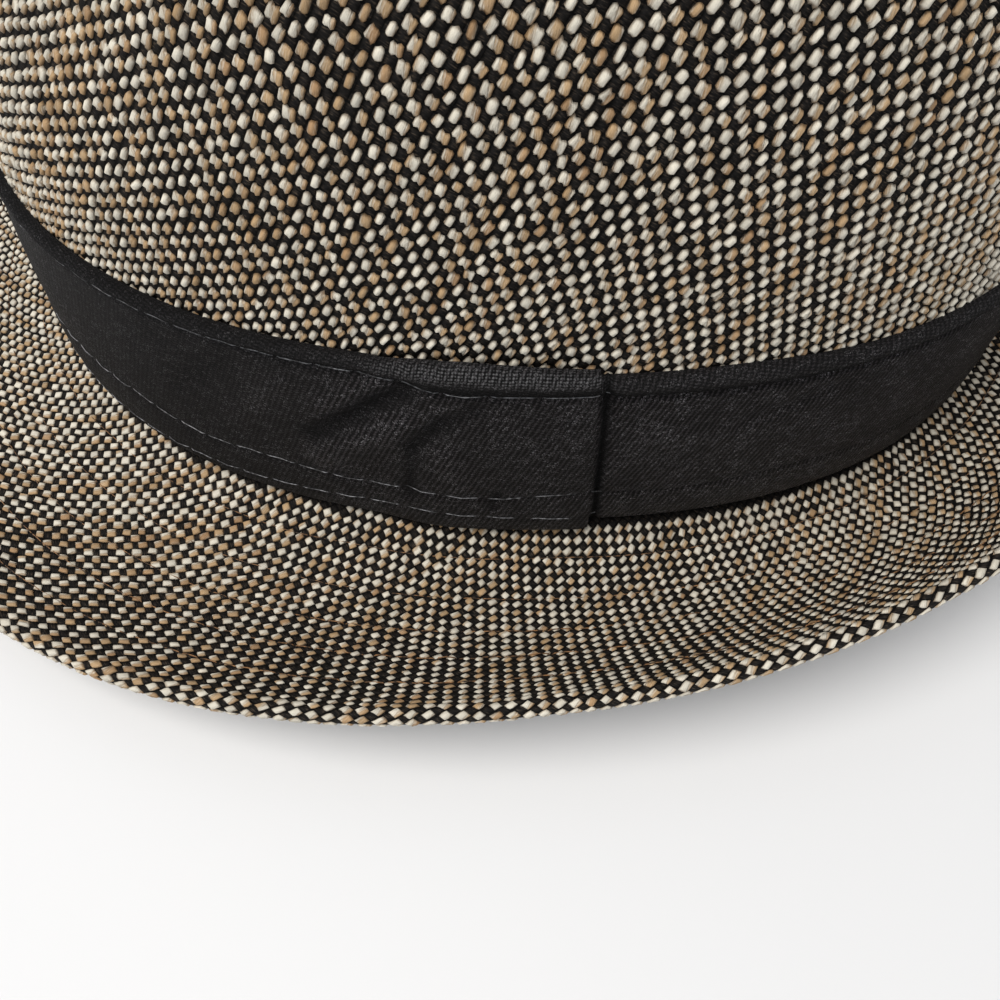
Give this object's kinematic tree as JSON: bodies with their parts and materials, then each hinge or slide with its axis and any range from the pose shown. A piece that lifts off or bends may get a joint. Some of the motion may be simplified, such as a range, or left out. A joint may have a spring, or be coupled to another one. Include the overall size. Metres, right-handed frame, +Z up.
{
  "type": "fedora hat",
  "caption": "Short-brim fedora of woven cloth with a pinched crown, a hollowed tip, an upturned stitched brim and a lapped twill band.",
  "frame": {"origin": "centre of the hat's plan, on the surface that it rests on", "axes": "-Y towards the front of the hat, +X towards the wearer's left, +Z up from the surface; the hat leans back as it rests"},
  "size_m": [0.243, 0.2694, 0.1222],
  "materials": {
    "tweed": "woven, light marl yarn over black yarn, dull",
    "twill": "black cotton twill, dull"
  },
  "bodies": {
    "root": {"crown_side": "tweed", "crown_tip": "tweed", "brim": "tweed", "hat_band": "twill"}
  },
  "joints": []
}
